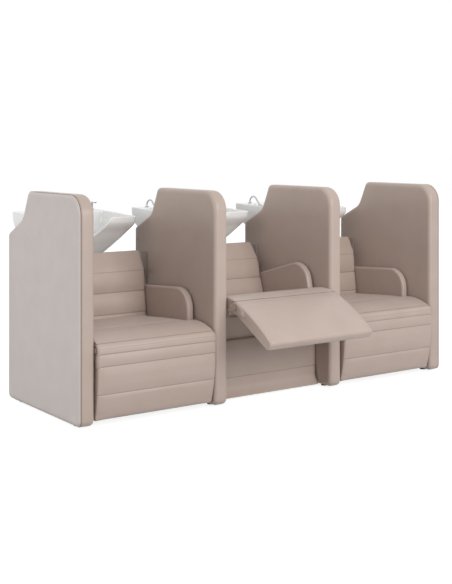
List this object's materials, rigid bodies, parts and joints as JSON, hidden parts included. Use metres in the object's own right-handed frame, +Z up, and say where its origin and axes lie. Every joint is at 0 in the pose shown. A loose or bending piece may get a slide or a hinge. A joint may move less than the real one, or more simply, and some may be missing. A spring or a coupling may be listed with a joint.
{
  "type": "triple shampoo unit",
  "caption": "Row of reclining backwash seats in padded upholstery between tall partition panels, each seat with a leg rest and a tilting ceramic shampoo basin behind its backrest.",
  "frame": {"origin": "on the floor in the middle of the panels' footprint, under the lift of the middle seat", "axes": "+X to the viewer's right along the row, +Y from the seats' fronts towards the basins, +Z up"},
  "size_m": [2.646, 1.6425, 1.22],
  "materials": {
    "upholstery": "satin",
    "facing": "matte",
    "ceramic": "glossy",
    "chrome": "polished",
    "frame_steel": "satin",
    "shell_paint": "satin",
    "board": "matte",
    "dark_plastic": "matte"
  },
  "bodies": {
    "stand": {"left_end_panel": "upholstery", "left_inner_panel": "upholstery", "right_inner_panel": "upholstery", "right_end_panel": "upholstery", "end_facings": "facing", "levelling_feet": "dark_plastic", "left_base_frame": "frame_steel", "left_front_fascia": "upholstery", "middle_base_frame": "frame_steel", "middle_front_fascia": "upholstery", "right_base_frame": "frame_steel", "right_front_fascia": "upholstery"},
    "left_seat": {"left_seat_frame": "shell_paint", "left_seat_cushion": "upholstery", "left_back_cushion": "upholstery", "left_left_arm": "upholstery", "left_right_arm": "upholstery", "left_front_skirt": "upholstery"},
    "left_leg_rest": {"left_leg_rest_board": "board", "left_leg_rest_pad": "upholstery"},
    "left_lift": {"left_actuator_body": "dark_plastic"},
    "left_lift_rod": {"left_actuator_rod": "chrome"},
    "left_bowl": {"left_basin": "ceramic", "left_basin_cradle": "frame_steel", "left_basin_waste": "chrome", "left_mixer_body": "chrome"},
    "left_lever": {"left_mixer_lever": "chrome"},
    "left_spray": {"left_hand_spray": "chrome"},
    "middle_seat": {"middle_seat_frame": "shell_paint", "middle_seat_cushion": "upholstery", "middle_back_cushion": "upholstery", "middle_left_arm": "upholstery", "middle_right_arm": "upholstery", "middle_front_skirt": "upholstery"},
    "middle_leg_rest": {"middle_leg_rest_board": "board", "middle_leg_rest_pad": "upholstery"},
    "middle_lift": {"middle_actuator_body": "dark_plastic"},
    "middle_lift_rod": {"middle_actuator_rod": "chrome"},
    "middle_bowl": {"middle_basin": "ceramic", "middle_basin_cradle": "frame_steel", "middle_basin_waste": "chrome", "middle_mixer_body": "chrome"},
    "middle_lever": {"middle_mixer_lever": "chrome"},
    "middle_spray": {"middle_hand_spray": "chrome"},
    "right_seat": {"right_seat_frame": "shell_paint", "right_seat_cushion": "upholstery", "right_back_cushion": "upholstery", "right_left_arm": "upholstery", "right_right_arm": "upholstery", "right_front_skirt": "upholstery"},
    "right_leg_rest": {"right_leg_rest_board": "board", "right_leg_rest_pad": "upholstery"},
    "right_lift": {"right_actuator_body": "dark_plastic"},
    "right_lift_rod": {"right_actuator_rod": "chrome"},
    "right_bowl": {"right_basin": "ceramic", "right_basin_cradle": "frame_steel", "right_basin_waste": "chrome", "right_mixer_body": "chrome"},
    "right_lever": {"right_mixer_lever": "chrome"},
    "right_spray": {"right_hand_spray": "chrome"}
  },
  "joints": [
    {"name": "left_seat_tilt", "type": "hinge", "parent": "stand", "child": "left_seat", "pos_m": [-0.85, 0.32, 0.8], "axis": [-1, 0, 0], "range_deg": [0, 11.6]},
    {"name": "left_leg_rest_lift", "type": "hinge", "parent": "left_seat", "child": "left_leg_rest", "pos_m": [-0.85, -0.432, 0.403], "axis": [-1, 0, 0], "range_deg": [0, 54.9]},
    {"name": "left_lift_swing", "type": "hinge", "parent": "stand", "child": "left_lift", "pos_m": [-0.85, 0.035, 0.062], "axis": [-1, 0, 0], "range_deg": [-3.61, 0]},
    {"name": "left_lift_stroke", "type": "slide", "parent": "left_lift", "child": "left_lift_rod", "axis": [0, -0.4969, 0.8678], "range_m": [0, 0.12834]},
    {"name": "left_basin_tilt", "type": "hinge", "parent": "stand", "child": "left_bowl", "pos_m": [-0.85, 0.575, 0.772], "axis": [-1, 0, 0], "range_deg": [-4, 8]},
    {"name": "left_mixer_turn", "type": "hinge", "parent": "left_bowl", "child": "left_lever", "pos_m": [-0.625, 0.74, 1.1], "axis": [0, 0, 1], "range_deg": [-50, 50]},
    {"name": "left_spray_lift", "type": "slide", "parent": "left_bowl", "child": "left_spray", "axis": [0, 0, 1], "range_m": [0, 0.12]},
    {"name": "middle_seat_tilt", "type": "hinge", "parent": "stand", "child": "middle_seat", "pos_m": [0, 0.32, 0.8], "axis": [-1, 0, 0], "range_deg": [-11.6, 0]},
    {"name": "middle_leg_rest_lift", "type": "hinge", "parent": "middle_seat", "child": "middle_leg_rest", "pos_m": [0, -0.49647, 0.56232], "axis": [-1, 0, 0], "range_deg": [-54.9, 0]},
    {"name": "middle_lift_swing", "type": "hinge", "parent": "stand", "child": "middle_lift", "pos_m": [0, 0.035, 0.062], "axis": [-1, 0, 0], "range_deg": [0, 3.61]},
    {"name": "middle_lift_stroke", "type": "slide", "parent": "middle_lift", "child": "middle_lift_rod", "axis": [0, -0.5505, 0.8349], "range_m": [-0.12834, 0]},
    {"name": "middle_basin_tilt", "type": "hinge", "parent": "stand", "child": "middle_bowl", "pos_m": [0, 0.575, 0.772], "axis": [-1, 0, 0], "range_deg": [-4, 8]},
    {"name": "middle_mixer_turn", "type": "hinge", "parent": "middle_bowl", "child": "middle_lever", "pos_m": [0.225, 0.74, 1.1], "axis": [0, 0, 1], "range_deg": [-50, 50]},
    {"name": "middle_spray_lift", "type": "slide", "parent": "middle_bowl", "child": "middle_spray", "axis": [0, 0, 1], "range_m": [0, 0.12]},
    {"name": "right_seat_tilt", "type": "hinge", "parent": "stand", "child": "right_seat", "pos_m": [0.85, 0.32, 0.8], "axis": [-1, 0, 0], "range_deg": [0, 11.6]},
    {"name": "right_leg_rest_lift", "type": "hinge", "parent": "right_seat", "child": "right_leg_rest", "pos_m": [0.85, -0.432, 0.403], "axis": [-1, 0, 0], "range_deg": [0, 54.9]},
    {"name": "right_lift_swing", "type": "hinge", "parent": "stand", "child": "right_lift", "pos_m": [0.85, 0.035, 0.062], "axis": [-1, 0, 0], "range_deg": [-3.61, 0]},
    {"name": "right_lift_stroke", "type": "slide", "parent": "right_lift", "child": "right_lift_rod", "axis": [0, -0.4969, 0.8678], "range_m": [0, 0.12834]},
    {"name": "right_basin_tilt", "type": "hinge", "parent": "stand", "child": "right_bowl", "pos_m": [0.85, 0.575, 0.772], "axis": [-1, 0, 0], "range_deg": [-4, 8]},
    {"name": "right_mixer_turn", "type": "hinge", "parent": "right_bowl", "child": "right_lever", "pos_m": [1.075, 0.74, 1.1], "axis": [0, 0, 1], "range_deg": [-50, 50]},
    {"name": "right_spray_lift", "type": "slide", "parent": "right_bowl", "child": "right_spray", "axis": [0, 0, 1], "range_m": [0, 0.12]}
  ],
  "couplings": [
    {"joint": "left_leg_rest_lift", "follows": "left_seat_tilt", "ratio": 4.733},
    {"joint": "left_lift_swing", "follows": "left_seat_tilt", "ratio": -0.3109},
    {"joint": "left_lift_stroke", "follows": "left_seat_tilt", "m_per_rad": 0.6339},
    {"joint": "middle_leg_rest_lift", "follows": "middle_seat_tilt", "ratio": 4.733},
    {"joint": "middle_lift_swing", "follows": "middle_seat_tilt", "ratio": -0.3109},
    {"joint": "middle_lift_stroke", "follows": "middle_seat_tilt", "m_per_rad": 0.6339},
    {"joint": "right_leg_rest_lift", "follows": "right_seat_tilt", "ratio": 4.733},
    {"joint": "right_lift_swing", "follows": "right_seat_tilt", "ratio": -0.3109},
    {"joint": "right_lift_stroke", "follows": "right_seat_tilt", "m_per_rad": 0.6339}
  ]
}
